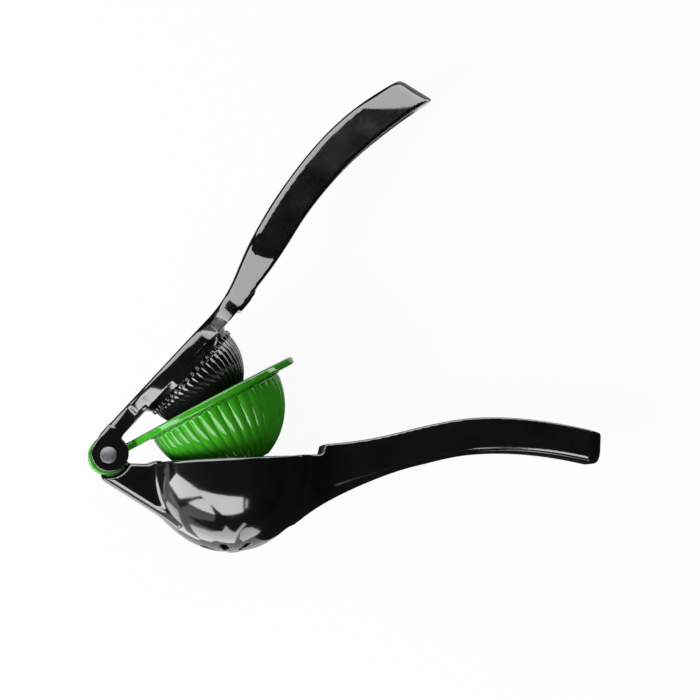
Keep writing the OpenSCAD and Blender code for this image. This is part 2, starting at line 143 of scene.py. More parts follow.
def curve(knots: Sequence[tuple[float, float, float]], x: Array, before: float) -> Array:
    """Smooth curve through knots of place, value and slope.

    Args:
        knots: The knots, in rising order of place.
        x: Where to read it.
        before: Value kept ahead of the first knot.

    Returns:
        The curve's value at each x.
    """
    out = np.full_like(x, before)
    for a, b in zip(knots, knots[1:]):
        h = b[0] - a[0]
        t = np.clip((x - a[0]) / h, 0.0, 1.6)
        u = 1 - t
        part = (a[1] * u * u * (1 + 2 * t) + b[1] * t * t * (1 + 2 * u)
                + h * (a[2] * t * u * u - b[2] * t * t * u))
        out = np.where(x >= a[0], part, out)
    return out


def ease(start: float, stop: float, x: Array) -> Array:
    """Smooth step from 0 at start to 1 at stop."""
    t = np.clip((x - start) / (stop - start), 0.0, 1.0)
    return t * t * (3 - 2 * t)


def join(a: Array, b: Array, k: float) -> Array:
    """Union of two solids with a fillet of about k."""
    h = np.maximum(k - np.abs(a - b), 0.0) / k
    return np.minimum(a, b) - h * h * k * 0.25


def meet(a: Array, b: Array, k: float) -> Array:
    """Overlap of two solids with an edge rounded by about k."""
    return -join(-a, -b, k)


def cut(a: Array, tool: Array, k: float) -> Array:
    """Solid a less the tool, with an edge rounded by about k."""
    return meet(a, -tool, k)


def bar(y: Array, z: Array, half: Array, low: Array, high: Array,
        r_low: Array, r_high: Array) -> Array:
    """Distance to an upright rounded rectangle that may change along the bar.

    Args:
        y: Place across the bar.
        z: Height.
        half: Half width.
        low: Lower edge.
        high: Upper edge.
        r_low: Rounding of the lower corners.
        r_high: Rounding of the upper corners.

    Returns:
        The distance, negative inside.
    """
    mid = (low + high) / 2
    tall = np.maximum(high - low, 0.4) / 2
    r = np.where(z > mid, r_high, r_low)
    r = np.minimum(r, np.minimum(half, tall) - 0.1)
    qy = np.abs(y) - half + r
    qz = np.abs(z - mid) - tall + r
    return np.minimum(np.maximum(qy, qz), 0.0) + np.hypot(np.maximum(qy, 0), np.maximum(qz, 0)) - r


def outline(u: Array, v: Array, points: Array) -> Array:
    """Distance to a closed outline, negative inside.

    Args:
        u: First coordinate.
        v: Second coordinate.
        points: Corners of the outline, one row each.

    Returns:
        The signed distance.
    """
    best = np.full(u.shape, 1e9)
    inside = np.zeros(u.shape, bool)
    for p, q in zip(points, np.roll(points, -1, axis=0)):
        e = q - p
        wu, wv = u - p[0], v - p[1]
        t = np.clip((wu * e[0] + wv * e[1]) / (e @ e), 0.0, 1.0)
        best = np.minimum(best, (wu - e[0] * t) ** 2 + (wv - e[1] * t) ** 2)
        over = (p[1] > v) != (q[1] > v)
        if abs(e[1]) > 1e-12:
            inside ^= over & (u < p[0] + e[0] * (v - p[1]) / e[1])
    return np.where(inside, -1.0, 1.0) * np.sqrt(best)


def pair(y: Array, near: float, far: float) -> Array:
    """Distance to two mirrored slabs that stand between near and far of the middle."""
    return np.abs(np.abs(y) - (near + far) / 2) - (far - near) / 2


def egg(rho: Array, z: Array, r: float, top: float, band: float, depth: float,
        share: float = 1.0) -> Array:
    """Distance, near enough, to a half egg hanging from z = top.

    Args:
        rho: Distance from its axis.
        z: Height.
        r: Radius of its upright band.
        top: Height it hangs from.
        band: Height of the upright band.
        depth: Whole depth.
        share: Part of the egg's curve that is used before its flat floor.

    Returns:
        The distance, negative inside.
    """
    s = np.maximum(top - band - z, 0.0) / (depth - band)
    shell = (np.sqrt((rho / r) ** 2 + share * share * s ** EGG_SQUARE) - 1) * r
    return meet(meet(shell, top - depth - z, 1.6), z - top, 0.6)


# ---------- meshes ----------

def skin_of(solid: Field, low: Sequence[float], high: Sequence[float], step: float
            ) -> tuple[Array, Array]:
    """Closed skin of quads where a solid's distance is zero.

    Args:
        solid: Distance function of points in millimetres.
        low: Lowest corner of the space that is searched.
        high: Highest corner.
        step: Side of a cell.

    Returns:
        Points and quads, the quads turned outwards.
    """
    axes = [np.arange(a, b + step, step) for a, b in zip(low, high)]
    shape = [len(a) for a in axes]
    value = np.empty(shape)
    yy, zz = np.meshgrid(axes[1], axes[2], indexing="ij")
    for i in range(0, shape[0], 16):
        xs = axes[0][i:i + 16]
        grid = np.stack([np.repeat(xs, yy.size), np.tile(yy.ravel(), len(xs)),
                         np.tile(zz.ravel(), len(xs))], axis=1)
        value[i:i + 16] = solid(grid).reshape(len(xs), *yy.shape)
    inside = value < 0
    number = np.full([n - 1 for n in shape], -1, np.int64)
    total = np.zeros(number.shape + (3,))
    count = np.zeros(number.shape)
    quads = []
    for axis in range(3):
        lo = [slice(None)] * 3
        hi = [slice(None)] * 3
        lo[axis], hi[axis] = slice(0, -1), slice(1, None)
        a, b = value[tuple(lo)], value[tuple(hi)]
        hit = np.argwhere(inside[tuple(lo)] != inside[tuple(hi)])
        ia = tuple(hit.T)
        part = hit.astype(float)
        part[:, axis] += a[ia] / (a[ia] - b[ia])
        u, v = (axis + 1) % 3, (axis + 2) % 3
        ring = []
        for du, dv in ((-1, -1), (0, -1), (0, 0), (-1, 0)):
            cell = hit.copy()
            cell[:, u] += du
            cell[:, v] += dv
            np.add.at(total, tuple(cell.T), part)
            np.add.at(count, tuple(cell.T), 1)
            ring.append(cell)
        quads.append((np.stack(ring, axis=1), inside[tuple(lo)][ia]))
    used = np.argwhere(count > 0)
    number[tuple(used.T)] = np.arange(len(used))
    points = total[tuple(used.T)] / count[tuple(used.T)][:, None] * step + np.array(low)
    faces = []
    for ring, outward in quads:
        ids = number[ring[..., 0], ring[..., 1], ring[..., 2]]
        faces.append(np.where(outward[:, None], ids, ids[:, ::-1]))
    return points, np.concatenate(faces)


def slope_of(solid: Field, points: Array, h: float = 0.03) -> Array:
    """Gradient of a solid's distance at points."""
    out = np.empty_like(points)
    for i in range(3):
        off = np.zeros(3)
        off[i] = h
        out[:, i] = (solid(points + off) - solid(points - off)) / (2 * h)
    return out


def settle(solid: Field, points: Array, faces: Array, step: float) -> tuple[Array, Array]:
    """Spread a skin's points evenly and set them on the true surface.

    Args:
        solid: Distance function.
        points: The skin's points.
        faces: The skin's quads.
        step: Cell the skin was made with.

    Returns:
        The points and the surface's normals there.
    """
    edges = np.concatenate([faces[:, [i, (i + 1) % 4]] for i in range(4)])
    degree = np.bincount(edges[:, 0], minlength=len(points))[:, None]
    for turn in range(5):
        if turn < 4:
            mean = np.zeros_like(points)
            np.add.at(mean, edges[:, 0], points[edges[:, 1]])
            points = points + 0.5 * (mean / degree - points)
        for _ in range(2):
            grad = slope_of(solid, points)
            move = solid(points) / np.maximum((grad ** 2).sum(axis=1), 0.2)
            points = points - np.clip(move, -step / 2, step / 2)[:, None] * grad
    grad = slope_of(solid, points)
    return points, grad / np.maximum(np.linalg.norm(grad, axis=1), 1e-9)[:, None]


def linked(name: str, data: bpy.types.ID) -> Object:
    """New object that holds data, linked to the scene."""
    obj = bpy.data.objects.new(name, data)
    bpy.context.scene.collection.objects.link(obj)
    return obj


def mesh_object(name: str, points: Array, faces: Sequence[Sequence[int]], finish: Material,
                matrix: Matrix, normals: Array | None = None) -> Object:
    """Smooth mesh object placed through its points.

    Args:
        name: Name of the piece.
        points: Points in millimetres.
        faces: Corners of each face.
        finish: Its material.
        matrix: Turns the points to their place in metres.
        normals: Surface normals at the points, if they are known.

    Returns:
        The new object, linked to the scene.
    """
    mesh = bpy.data.meshes.new(name)
    mesh.from_pydata(points.tolist(), [], [list(map(int, f)) for f in faces])
    mesh.transform(matrix)
    mesh.shade_smooth()
    if normals is not None:
        turned = normals @ np.array(matrix.to_3x3().normalized()).T
        mesh.normals_split_custom_set_from_vertices(turned.tolist())
    mesh.materials.append(finish)
    return linked(name, mesh)


def lathe(profile: Corners, steps: int) -> tuple[Array, list[list[int]]]:
    """Closed turned shape about Z from a profile that starts and ends on the axis.

    Args:
        profile: Radius and height of each point.
        steps: Points round the axis.

    Returns:
        Points and faces.
    """
    turn = np.linspace(0, 2 * math.pi, steps, endpoint=False)
    points = [[0.0, 0.0, profile[0][1]]]
    for r, z in profile[1:-1]:
        points += [[r * math.cos(t), r * math.sin(t), z] for t in turn]
    points.append([0.0, 0.0, profile[-1][1]])
    rows = len(profile) - 2
    last = len(points) - 1
    faces = []
    for j in range(steps):
        k = (j + 1) % steps
        faces.append([0, 1 + k, 1 + j])
        faces += [[1 + i * steps + j, 1 + i * steps + k, 1 + (i + 1) * steps + k, 1 + (i + 1) * steps + j]
                  for i in range(rows - 1)]
        faces.append([last, 1 + (rows - 1) * steps + j, 1 + (rows - 1) * steps + k])
    return np.array(points), faces


# ---------- finishes ----------

MOTTLE = (0.3, 0.7)    # noise values where a mottle starts and is full
EDGES = (0.53, 0.62)   # pointiness where wear of edges starts and is full


def linear(code: str) -> tuple[float, float, float, float]:
    """Linear colour from an sRGB hex code such as #3FA51F."""
    parts = [int(code[i:i + 2], 16) / 255 for i in (1, 3, 5)]
    return (*[p / 12.92 if p <= 0.04045 else ((p + 0.055) / 1.055) ** 2.4 for p in parts], 1.0)


def add(tree: Tree, kind: str, inputs: dict[object, object] | None = None, **settings: object) -> bpy.types.Node:
    """Add a node, set it and link it.

    Args:
        tree: Node tree that gets the node.
        kind: Its type.
        inputs: Input sockets by name or number, each a value, an output socket or a node for its first output.
        settings: Its properties.

    Returns:
        The new node.
    """
    node = tree.nodes.new(kind)
    for key, value in settings.items():
        setattr(node, key, value)
    for key, value in (inputs or {}).items():
        value = value.outputs[0] if isinstance(value, bpy.types.Node) else value
        if isinstance(value, Socket):
            tree.links.new(value, node.inputs[key])
        else:
            node.inputs[key].default_value = value
    return node


def empty_tree(block: Material | bpy.types.World) -> Tree:
    """Turn on the nodes of a material or a world and clear them."""
    block.use_nodes = True
    block.node_tree.nodes.clear()
    return block.node_tree


def noise(tree: Tree, place: object, size_mm: float, detail: float, roughness: float = 0.5) -> bpy.types.Node:
    """Noise whose spots are about size_mm wide."""
    return add(tree, "ShaderNodeTexNoise", {
        "Vector": place, "Scale": 1 / (size_mm * MM), "Detail": detail, "Roughness": roughness})


def spread(tree: Tree, value: object, start: float, stop: float, low: float, high: float) -> bpy.types.Node:
    """Value mapped from start and stop to low and high, and held beyond them."""
    return add(tree, "ShaderNodeMapRange", {
        "Value": value, "From Min": start, "From Max": stop, "To Min": low, "To Max": high}, clamp=True)


def blend(tree: Tree, share: object, one: object, other: object) -> Socket:
    """Colour that goes from one to the other with the share."""
    return add(tree, "ShaderNodeMix", {0: share, 6: one, 7: other}, data_type="RGBA").outputs[2]


def bumps(tree: Tree, height: object, depth_mm: float) -> bpy.types.Node:
    """Bumps of depth_mm for a surface's normal."""
    return add(tree, "ShaderNodeBump", {"Height": height, "Strength": 1.0, "Distance": depth_mm * MM})


@dataclass(frozen=True)
class Finish:
    """A real finish with a name, its main colour and how rough it is."""

    name: str
    colour: str
    roughness: float

    def coat(self, tree: Tree, place: Socket) -> dict[str, object]:
        """Inputs of the surface, by name.

        Args:
            tree: Node tree that gets their nodes.
            place: Place on the object.
        """
        raise NotImplementedError

    def build(self) -> Material:
        """Make the material."""
        mat = bpy.data.materials.new(self.name)
        tree = empty_tree(mat)
        place = add(tree, "ShaderNodeTexCoord").outputs["Object"]
        body = add(tree, "ShaderNodeBsdfPrincipled", self.coat(tree, place))
        add(tree, "ShaderNodeOutputMaterial", {"Surface": body})
        return mat


@dataclass(frozen=True)
class BakedEnamel(Finish):
    """Gloss enamel sprayed and baked on die-cast aluminium.

    It flows out smooth but for a faint orange peel, pools slightly unevenly, and is
    thinner on edges.
    """

    deep: str
    edge: str
    gloss: float = 0.5
    peel_mm: float = 1.6
    peel_depth_mm: float = 0.006
    flow_mm: float = 14.0
    worn: float = 0.35

    def coat(self, tree: Tree, place: Socket) -> dict[str, object]:
        """Inputs of the surface, by name."""
        flow = noise(tree, place, self.flow_mm, 2.0)
        peel = noise(tree, place, self.peel_mm, 1.0, 0.4)
        base = blend(tree, spread(tree, flow, *MOTTLE, 0.0, 1.0), linear(self.colour), linear(self.deep))
        point = add(tree, "ShaderNodeNewGeometry").outputs["Pointiness"]
        return {"Base Color": blend(tree, spread(tree, point, *EDGES, 0.0, self.worn), base, linear(self.edge)),
                "Roughness": spread(tree, flow, *MOTTLE, self.roughness * 0.8, self.roughness * 1.3),
                "IOR": 1.52, "Specular IOR Level": self.gloss, "Normal": bumps(tree, peel, self.peel_depth_mm)}


@dataclass(frozen=True)
class BrushedSteel(Finish):
    """Stainless rivet steel, cold headed and brushed across.

    The brushing gives fine parallel lines that stretch highlights.
    """

    dull: str
    line_mm: float = 0.16
    line_depth_mm: float = 0.012
    drawn: tuple[float, float, float] = (0.12, 0.12, 1.0)
    stain_mm: float = 2.5
    stain: float = 0.6

    def coat(self, tree: Tree, place: Socket) -> dict[str, object]:
        """Inputs of the surface, by name."""
        drawn = add(tree, "ShaderNodeMapping", {"Vector": place, "Scale": self.drawn})
        lines = noise(tree, drawn, self.line_mm, 3.0)
        stain = spread(tree, noise(tree, place, self.stain_mm, 2.0), 0.35, 0.75, 0.0, self.stain)
        return {"Base Color": blend(tree, stain, linear(self.colour), linear(self.dull)), "Metallic": 1.0,
                "Roughness": spread(tree, lines, *MOTTLE, self.roughness * 0.7, self.roughness * 1.4),
                "Normal": bumps(tree, lines, self.line_depth_mm)}


# ---------- ribs ----------

@dataclass
class Ribs:
    """Rounded ribs that run down a half egg, repeated round its axis."""

    count: int
    radius: float
    top: float
    band: float
    depth: float
    share: float
    relief: float
    broad: float = 1.2
    foot_round: float = 1.6
    top_round: float = 0.9
    sides: int = 20
    steps: int = 46

    def height(self) -> float:
        """Half height of a rib's oval, so that the valleys between ribs are one relief deep."""
        return self.relief / (1 - math.sqrt(1 - 1 / self.broad ** 2))

    def meridian(self) -> tuple[Array, Array]:
        """Run of one rib's core in X and Z, and its size at each point as a share of the size at the rim."""
        core = self.height()
        b = self.depth - self.band
        angle = np.linspace(0, math.asin(self.share), self.steps)
        r = self.radius * np.cos(angle)
        z = self.top - self.band - b * (np.sin(angle) / self.share) ** EGG_POWER
        up = np.linspace(self.top, self.top - self.band, 8)[:-1]
        x = np.concatenate([np.full(7, self.radius), r])
        z = np.concatenate([up, z])
        size = x / self.radius
        across, along = np.gradient(x), np.gradient(z)
        long = np.hypot(across, along)
        x, z = x + core * size * along / long, z - core * size * across / long
        run = np.concatenate([[0], np.cumsum(np.hypot(np.diff(x), np.diff(z)))])
        for from_end, length in ((run[-1] - run, self.foot_round), (run, self.top_round)):
            size = size * np.sqrt(1 - (1 - np.clip(from_end / length, 0, 1)) ** 2 + 1e-4)
        return np.stack([x, np.zeros_like(x), z], axis=1), size

    def tree(self) -> tuple[Tree, dict[str, str]]:
        """Node tree that sweeps one rib along its run and repeats it round the axis.

        Returns:
            The tree, and the identifier of each input by its name.
        """
        tree = bpy.data.node_groups.new("ribs_round_axis", "GeometryNodeTree")
        ports = {}
        for name, kind in (("Run", "Geometry"), ("Rib count", "Int"), ("Half width", "Float"),
                           ("Rib height", "Float"), ("Sides", "Int"), ("Finish", "Material")):
            ports[name] = tree.interface.new_socket(
                name, in_out="INPUT", socket_type="NodeSocket" + kind).identifier
        tree.interface.new_socket("Ribs", in_out="OUTPUT", socket_type="NodeSocketGeometry")
        given = add(tree, "NodeGroupInput").outputs
        size = add(tree, "GeometryNodeInputNamedAttribute", {"Name": "rib_size"}, data_type="FLOAT")
        run = add(tree, "GeometryNodeMeshToCurve", {0: given["Run"]})
        run = add(tree, "GeometryNodeSetCurveNormal", {0: run}, mode="Z_UP")
        sized = add(tree, "GeometryNodeSetCurveRadius", {0: run, "Radius": size})
        ring = add(tree, "GeometryNodeCurvePrimitiveCircle", {"Resolution": given["Sides"], "Radius": 1.0})
        flat = add(tree, "ShaderNodeCombineXYZ", {0: given["Half width"], 1: given["Rib height"], 2: 1.0})
        oval = add(tree, "GeometryNodeTransform", {0: ring, "Scale": flat})
        swept = add(tree, "GeometryNodeCurveToMesh", {0: sized, 1: oval, "Fill Caps": True})
        if "Scale" in swept.inputs:
            tree.links.new(size.outputs[0], swept.inputs["Scale"])
        index = add(tree, "GeometryNodeInputIndex")
        pitch = add(tree, "ShaderNodeMath", {0: 2 * math.pi, 1: given["Rib count"]}, operation="DIVIDE")
        turn = add(tree, "ShaderNodeMath", {0: index, 1: pitch}, operation="MULTIPLY")
        spin = add(tree, "ShaderNodeCombineXYZ", {2: turn})
        spots = add(tree, "GeometryNodePoints", {"Count": given["Rib count"]})
        many = add(tree, "GeometryNodeInstanceOnPoints", {"Points": spots, "Instance": swept, "Rotation": spin})
        real = add(tree, "GeometryNodeRealizeInstances", {0: many})
        dressed = add(tree, "GeometryNodeSetMaterial", {0: real, "Material": given["Finish"]})
        add(tree, "NodeGroupOutput", {0: dressed})
        return tree, ports

    def build(self, name: str, axis_x: float, swing: Swing, finish: Material) -> Object:
        """Make the ribs as one plain mesh.

        Args:
            name: Name of the piece.
            axis_x: Where their common axis stands, from the hinge.
            swing: Body that carries them.
            finish: Their material.

        Returns:
            The finished object.
        """
        points, size = self.meridian()
        mesh = bpy.data.meshes.new(name + "_run")
        mesh.from_pydata(points.tolist(), [(i, i + 1) for i in range(len(points) - 1)], [])
        mesh.attributes.new("rib_size", "FLOAT", "POINT").data.foreach_set("value", size.tolist())
        maker = linked(name + "_run", mesh)
        mod = maker.modifiers.new("ribs", "NODES")
        mod.node_group, ports = self.tree()
        values = {"Rib count": self.count, "Half width": math.pi * self.radius / self.count * self.broad,
                  "Rib height": self.height(), "Sides": self.sides, "Finish": finish}
        for key, value in values.items():
            mod[ports[key]] = value
        graph = bpy.context.evaluated_depsgraph_get()
        plain = bpy.data.meshes.new_from_object(maker.evaluated_get(graph), depsgraph=graph)
        maker.modifiers.clear()
        bpy.data.objects.remove(maker)
        plain.name = name
        plain.transform(swing.matrix() @ Matrix.Translation((axis_x, 0, 0)))
        plain.shade_smooth()
        return linked(name, plain)


# ---------- sub-assemblies ----------

@dataclass
class Piece:
    """A piece of the squeezer, with the sizes that it shares with the others."""

    finish: Material
    hinge: Hinge = Hinge()
    handles: Handles = Handles()
    step: float = 0.64

    def cast(self, name: str, solid: Field, swing: Swing, low: Sequence[float], high: Sequence[float]) -> Object:
        """Make the piece's own mesh.

        Args:
            name: Its name.
            solid: Distance to it, in millimetres from the closed hinge.
            swing: Body that carries it.
            low: Lowest corner of the space it fills.
            high: Highest corner.

        Returns:
            The new object.
        """
        points, faces = skin_of(solid, low, high, self.step)
        points, normals = settle(solid, points, faces, self.step)
        return mesh_object(name, points, faces, self.finish, swing.matrix(), normals)


@dataclass
class LowerLever(Piece):
    """Bowl, its arm to the hinge and the lower handle, one casting."""

    bowl_x: float = 53.0
    bowl_r: float = 35.4
    bowl_in: float = 32.4
    bottom: float = -44.7
    tip: float = -45.0
    tip_r: float = 2.4
    rim: float = -4.0
    slots: int = 8
    slot_from: float = 7.0
    slot_to: float = 15.5
    slot_w: float = 3.0
    arm_half: float = 12.5
    arm_end: float = -3.4
    arm_web: float = 2.7
    arm_slope: float = math.radians(35)
    recess_x: float = 93.4
    root_x: float = 80.0
    root_end: float = 133.0
    root_depth: float = 34.0
    mid_depth: float = 16.6
    end_depth: float = 14.5
    taper_x: float = 140.0
    root_fillet: float = 18.0
    root_round: float = 12.0
    edge_round: float = 0.7
    end_lean: float = 1.4
    step: float = 0.68

    def root_at(self, x: Array) -> Array:
        """Share of the deep root at x, which fades along the handle."""
        return np.clip((self.root_end - np.maximum(x, self.root_x)) / (self.root_end - self.root_x), 0, 1) ** 2

    def depth_at(self, x: Array) -> Array:
        """Depth of the handle at x."""
        taper = np.clip((x - self.taper_x) / (self.handles.lower_end - self.taper_x), 0, 1)
        plain = self.mid_depth + (self.end_depth - self.mid_depth) * taper
        return plain + (self.root_depth - self.mid_depth) * self.root_at(x)

    def width_at(self, x: Array) -> Array:
        """Half width of the handle at x, opening where it grows out of the bowl."""
        w, f, r = self.handles.half_w, self.root_fillet, self.bowl_r
        run = self.bowl_x + math.sqrt((r + f) ** 2 - (w + f) ** 2)
        touch = self.bowl_x + (run - self.bowl_x) * r / (r + f)
        part = w + f - np.sqrt(np.maximum(f * f - (np.clip(x, touch, run) - run) ** 2, 0))
        return part - self.handles.end_inset(x, self.handles.lower_end, self.handles.end_round)

    def bowl(self, x: Array, y: Array, z: Array) -> Array:
        """Outside of the bowl with its small tip."""
        rho = np.hypot(x - self.bowl_x, y)
        centre = self.bottom + self.bowl_r
        body = np.hypot(rho, np.minimum(z - centre, 0)) - self.bowl_r
        nose = meet(meet(rho - self.tip_r, self.tip + 0.25 - z, 0.6), z - centre, 0.6)
        return meet(join(body, nose, 0.9), z - self.rim, 1.5)

    def arm(self, x: Array, y: Array, z: Array) -> Array:
        """Sloping arm between the bowl and the hinge."""
        low = -self.hinge.notch_r - self.arm_web - x * math.tan(self.arm_slope)
        high = self.rim - 0.5 * np.sin(np.pi * np.clip((x - 10) / 17, 0, 1))
        under = (low - z) * math.cos(self.arm_slope)
        body = meet(np.abs(y) - self.arm_half, under, 5.0)
        body = meet(body, z - high, 1.4)
        body = meet(body, self.arm_end - x, 1.6)
        return np.maximum(body, x - (self.bowl_x - self.bowl_r * 0.72))

    def handle(self, x: Array, y: Array, z: Array) -> Array:
        """Handle as a solid bar, before its channel is cut."""
        end = self.handles.lower_end
        top, deep = self.handles.parting(x), self.depth_at(x)
        lean = self.end_lean * ease(end - 30, end, x) * np.clip((z - top + deep) / deep, 0, 1)
        xs = x - lean
        top, deep = self.handles.parting(xs), self.depth_at(xs)
        body = bar(y, z, self.width_at(xs), top - deep + self.handles.end_inset(xs, end, 5.5),
                   top - 0.5 * self.handles.end_inset(xs, end, 2.0),
                   self.handles.back_round + self.root_round * self.root_at(xs), self.edge_round)
        return meet(meet(body, xs - end, 1.5), self.root_x - 6 - x, 0.5)

    def channel(self, x: Array, y: Array, z: Array) -> Array:
        """Channel in the open side of the handle."""
        start, stop = self.recess_x + 16, self.handles.lower_end - 17
        run = ease(start - 6, start + 14, x) * ease(stop + 6, stop - 14, x)
        floor = self.handles.parting(x) - (self.depth_at(x) - self.handles.web) * run
        body = meet(np.abs(y) - (self.handles.half_w - self.handles.wall), floor - z, 3.0)
        return meet(body, np.maximum(start - 4 - x, x - stop - 4), 2.0)

    def solid(self, points: Array) -> Array:
        """Distance to the whole casting, in millimetres from the closed hinge."""
        x, y, z = points.T
        hinge = self.hinge
        rho = np.hypot(x - self.bowl_x, y)
        centre = self.bottom + self.bowl_r
        body = join(self.bowl(x, y, z), self.arm(x, y, z), 3.0)
        body = join(body, self.handle(x, y, z), 3.0)
        around = np.hypot(x, z)
        knuckle = meet(around - hinge.lower_r, np.abs(y) - hinge.lower_half, 0.8)
        web = outline(x, z, np.array([[0, -7.2], [7.2, -2.4], [10.9, -4.8], [11.9, -9.9], [0, -10.9]]))
        knuckle = join(knuckle, meet(web, np.abs(y) - hinge.lower_half, 0.6), 1.5)
        notch = meet(around - hinge.notch_r, hinge.lower_half - np.abs(y), 0.5)
        body = join(cut(body, notch, 0.7), knuckle, 0.8)
        inner = np.hypot(rho, np.minimum(z - centre, 0)) - self.bowl_in
        body = cut(body, inner, 1.3)
        turn = (np.arctan2(y, x - self.bowl_x) / (2 * np.pi / self.slots)) % 1.0 - 0.5
        angle = turn * 2 * np.pi / self.slots
        along, across = rho * np.cos(angle), rho * np.sin(angle)
        half = self.slot_w / 2
        off = np.maximum(pair(along, self.slot_from, self.slot_to) + half, 0)
        slot = np.maximum(np.hypot(off, across) - half, z - centre)
        body = cut(body, slot, 0.8)
        lean = (x - self.recess_x - (z - self.rim) / 3.9) * 0.968
        recess = meet(np.maximum(lean, self.bowl_x - x), self.rim - z, 1.6)
        body = cut(body, recess, 0.9)
        body = cut(body, self.channel(x, y, z), 1.1)
        return cut(body, around - hinge.pin_r - hinge.clearance, 0.4)

    def build(self) -> list[Object]:
        """Make the casting in place of its CAD node."""
        obj = self.cast("lower_casting", self.solid, Swing.LOWER, (-10, -37, -46), (222, 37, 11))
        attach(obj, Swing.LOWER.body)
        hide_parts("lower_lever")
        return [obj]


@dataclass
class MiddleCup(Piece):
    """Fluted cup with its flange, lip, tab and two knuckles, one casting."""

    cup_x: float = 52.0
    cup_r: float = 31.0
    depth: float = 29.3
    wall: float = 2.0
    ribs: int = 40
    rib_h: float = 0.8
    relief: float = 0.9
    floor_r: float = 10.0
    flange_r: float = 36.6
    lip_r: float = 24.0
    lip_reach: float = 92.0
    low: float = -2.4
    thick: float = 3.4
    collar: float = 0.8
    holes: int = 6
    hole_r: float = 1.4
    tab_x: float = 12.0
    step: float = 0.6

    @property
    def share(self) -> float:
        """Part of the egg's curve that the cup has above its floor."""
        return math.sqrt(1 - (self.floor_r / self.cup_r) ** 2)

    @cached_property
    def edge(self) -> Array:
        """Outline of the flange, its lip and its tab, seen from above."""
        lip_x = self.lip_reach - self.lip_r
        lip_a = math.acos((self.flange_r - self.lip_r) / (lip_x - self.cup_x))
        dx, half = self.cup_x - self.tab_x, self.hinge.ear_from - 0.2
        far = math.hypot(dx, half)
        tab_a = math.pi - math.atan(half / dx) - math.acos(self.flange_r / far)
        side = [(lip_x + self.lip_r * math.cos(a), self.lip_r * math.sin(a))
                for a in np.linspace(0, lip_a, 14)]
        side += [(self.cup_x + self.flange_r * math.cos(a), self.flange_r * math.sin(a))
                 for a in np.linspace(lip_a, tab_a, 40)]
        side += [(self.tab_x, half), (0.0, half)]
        return np.array(side + [(x, -y) for x, y in side[:0:-1]])

    def solid(self, points: Array) -> Array:
        """Distance to the casting without its ribs, in millimetres from the closed hinge."""
        x, y, z = points.T
        hinge = self.hinge
        rho = np.hypot(x - self.cup_x, y)
        high = self.low + self.thick
        mid = (self.low + high) / 2
        plate = meet(outline(x, y, self.edge), np.abs(z - mid) - self.thick / 2, 1.1)
        r = self.cup_r - self.rib_h
        top = self.low - self.collar / 2
        shell = egg(rho, z, r, top + 1.5, self.collar / 2 + 1.5, self.depth + self.collar / 2 + 1.5, self.share)
        body = join(plate, shell, 1.6)
        around = np.hypot(x, z)
        body = join(body, meet(around - hinge.cup_r, pair(y, hinge.cup_from, hinge.cup_to), 0.8), 1.6)
        inner = egg(rho, z, r - self.wall, high + 3, self.thick + self.collar + 3,
                    self.depth - self.wall + self.thick + 3, 1.0)
        body = cut(body, inner, 1.3)
        turn = np.round(np.arctan2(y, x - self.cup_x) / (2 * np.pi / self.holes)) * (2 * np.pi / self.holes)
        hole = np.hypot(x - self.cup_x - 0.6 * self.floor_r * np.cos(turn),
                        y - 0.6 * self.floor_r * np.sin(turn)) - self.hole_r
        body = cut(body, hole, 0.6)
        clear = meet(around - hinge.lower_r - hinge.gap, np.abs(y) - hinge.cup_from, 0.4)
        body = cut(body, clear, 0.6)
        return cut(body, around - hinge.pin_r - hinge.clearance, 0.4)

    def build(self) -> list[Object]:
        """Make the casting and its ribs in place of the CAD node."""
        body = self.cast("cup_casting", self.solid, Swing.CUP, (-10, -38, -34), (93.5, 38, 10))
        ribs = Ribs(self.ribs, self.cup_r, self.low + 1.2, 1.2 + self.collar,
                    self.depth + 1.2 + self.collar, self.share, self.relief)
        rows = ribs.build("cup_ribs", self.cup_x, Swing.CUP, self.finish)
        for obj in (body, rows):
            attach(obj, Swing.CUP.body)
            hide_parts("middle_cup")
        return [body, rows]


